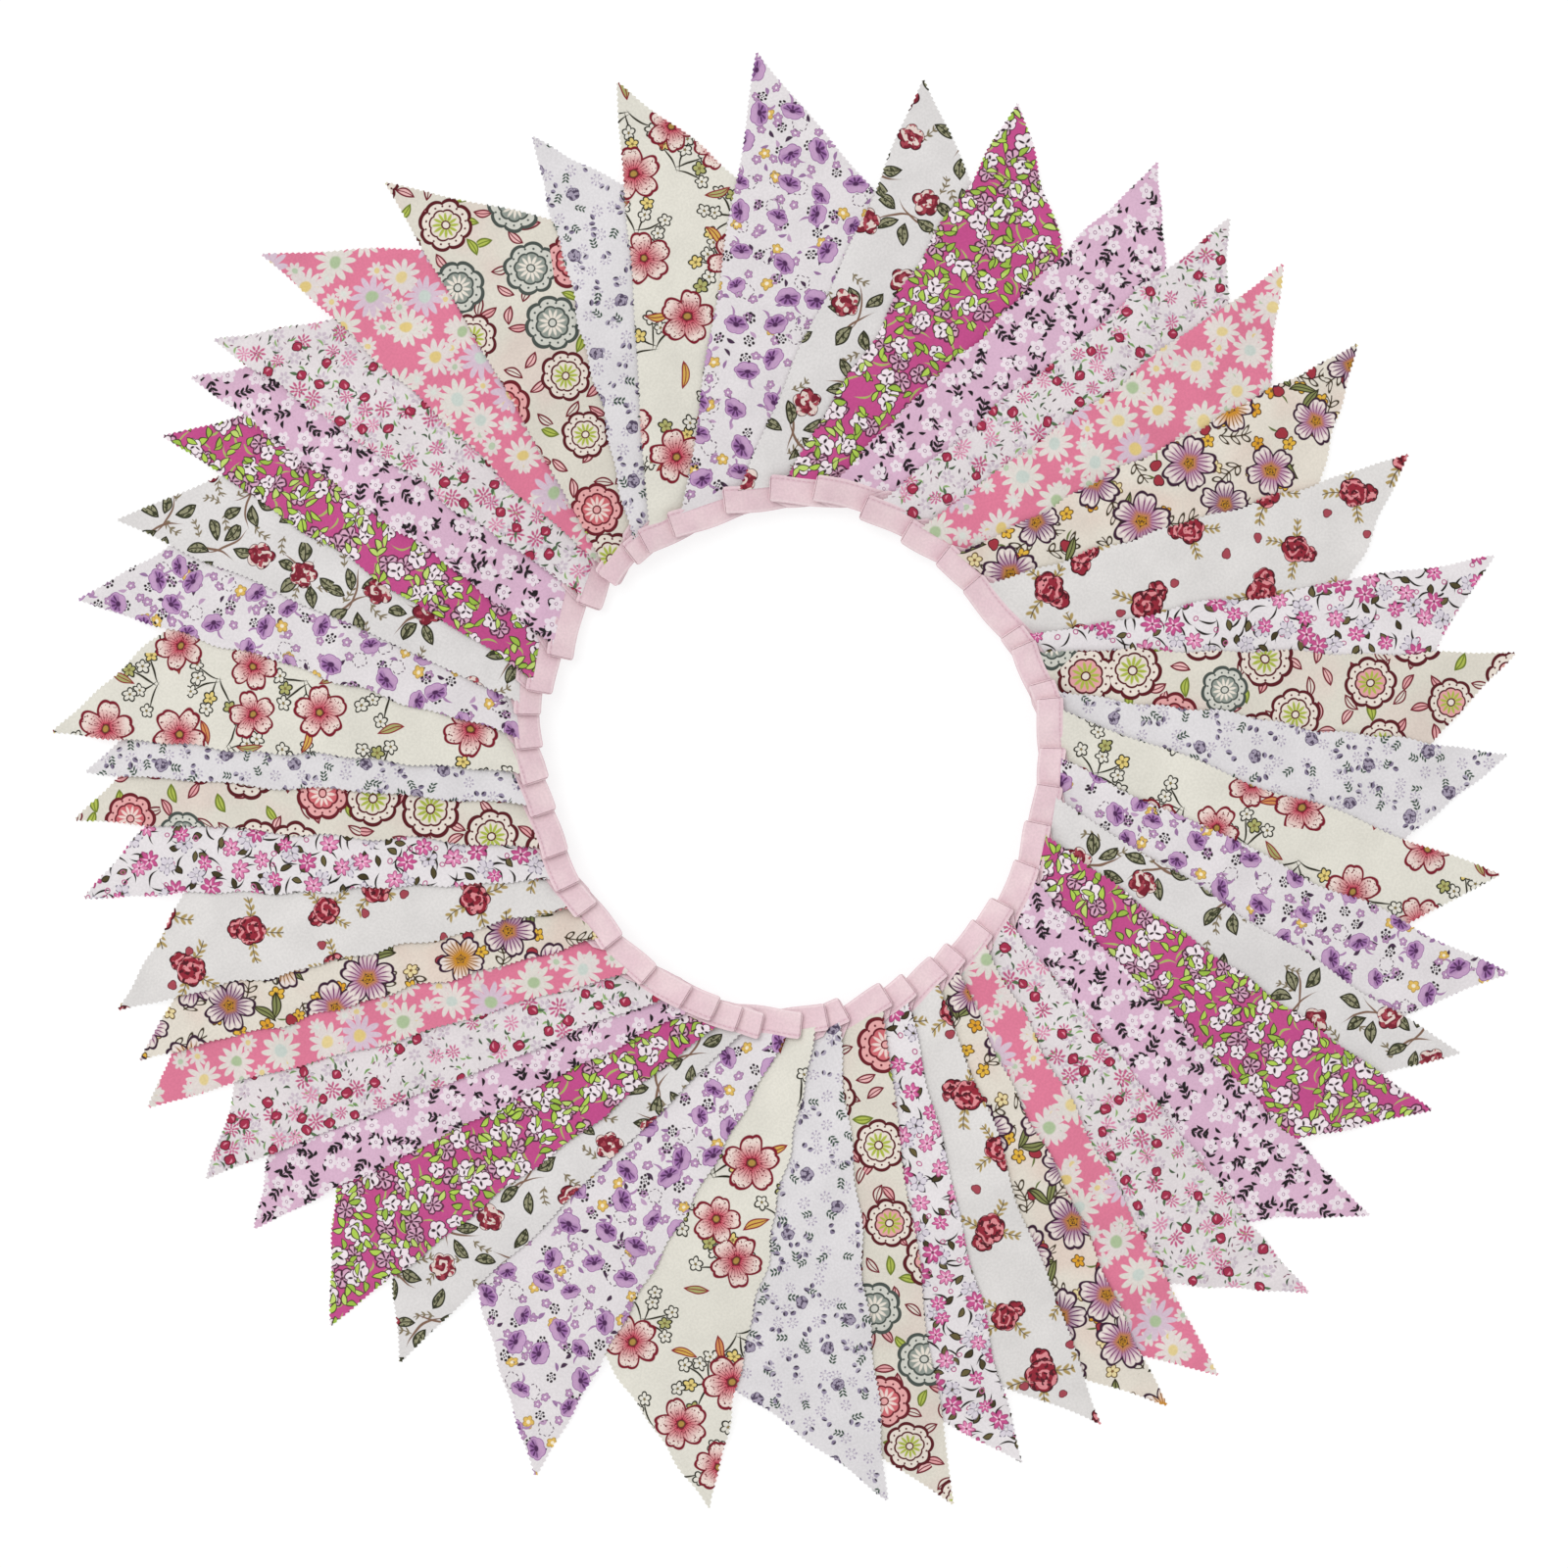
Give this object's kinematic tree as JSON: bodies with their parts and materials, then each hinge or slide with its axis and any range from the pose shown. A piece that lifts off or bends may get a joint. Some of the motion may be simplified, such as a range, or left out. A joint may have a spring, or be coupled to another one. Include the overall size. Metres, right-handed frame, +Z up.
{
  "type": "fabric bunting",
  "caption": "String of printed cotton pennants with pinked edges, sewn to a pale pink tape and laid out overlapping in a ring.",
  "frame": {"origin": "centre of the ring's box, on the surface that the bunting lies on", "axes": "+Z up, away from that surface; +Y towards the top of the ring as it is laid out, +X to the right"},
  "size_m": [0.6614, 0.6586, 0.0239],
  "materials": {
    "folk": "plain-weave cotton, cream, printed with red and lime folk flowers",
    "bud": "plain-weave cotton, white, printed with small grey-purple buds",
    "coral": "plain-weave cotton, cream, printed with coral line-drawn flowers",
    "poppy": "plain-weave cotton, white, printed with purple poppies",
    "briar": "plain-weave cotton, white, printed with sage leaves and crimson buds",
    "magenta": "plain-weave cotton, magenta, printed with lime leaves and white flowers",
    "lilac": "plain-weave cotton, lilac, printed with white flowers and black dashes",
    "ditsy": "plain-weave cotton, white, printed with small pink heads and red buds",
    "daisy": "plain-weave cotton, coral pink, printed with off-white daisies",
    "cosmos": "plain-weave cotton, cream, printed with purple line-drawn flowers",
    "rose": "plain-weave cotton, white, printed with dark red roses",
    "blossom": "plain-weave cotton, white, printed with hot pink blossoms",
    "tape": "matt cotton tape, pale pink, with one darker line of stitches"
  },
  "bodies": {
    "root": {"tape": "tape", "pennant_01": "folk", "pennant_02": "bud", "pennant_03": "coral", "pennant_04": "poppy", "pennant_05": "briar", "pennant_06": "magenta", "pennant_07": "lilac", "pennant_08": "ditsy", "pennant_09": "daisy", "pennant_10": "cosmos", "pennant_11": "rose", "pennant_12": "blossom", "pennant_13": "folk", "pennant_14": "bud", "pennant_15": "coral", "pennant_16": "poppy", "pennant_17": "briar", "pennant_18": "magenta", "pennant_19": "lilac", "pennant_20": "ditsy", "pennant_21": "daisy", "pennant_22": "cosmos", "pennant_23": "rose", "pennant_24": "blossom", "pennant_25": "folk", "pennant_26": "bud", "pennant_27": "coral", "pennant_28": "poppy", "pennant_29": "briar", "pennant_30": "magenta", "pennant_31": "lilac", "pennant_32": "ditsy", "pennant_33": "daisy", "pennant_34": "cosmos", "pennant_35": "rose", "pennant_36": "blossom", "pennant_37": "folk", "pennant_38": "bud", "pennant_39": "coral", "pennant_40": "poppy", "pennant_41": "briar", "pennant_42": "magenta", "pennant_43": "lilac", "pennant_44": "ditsy", "pennant_45": "daisy"}
  },
  "joints": []
}
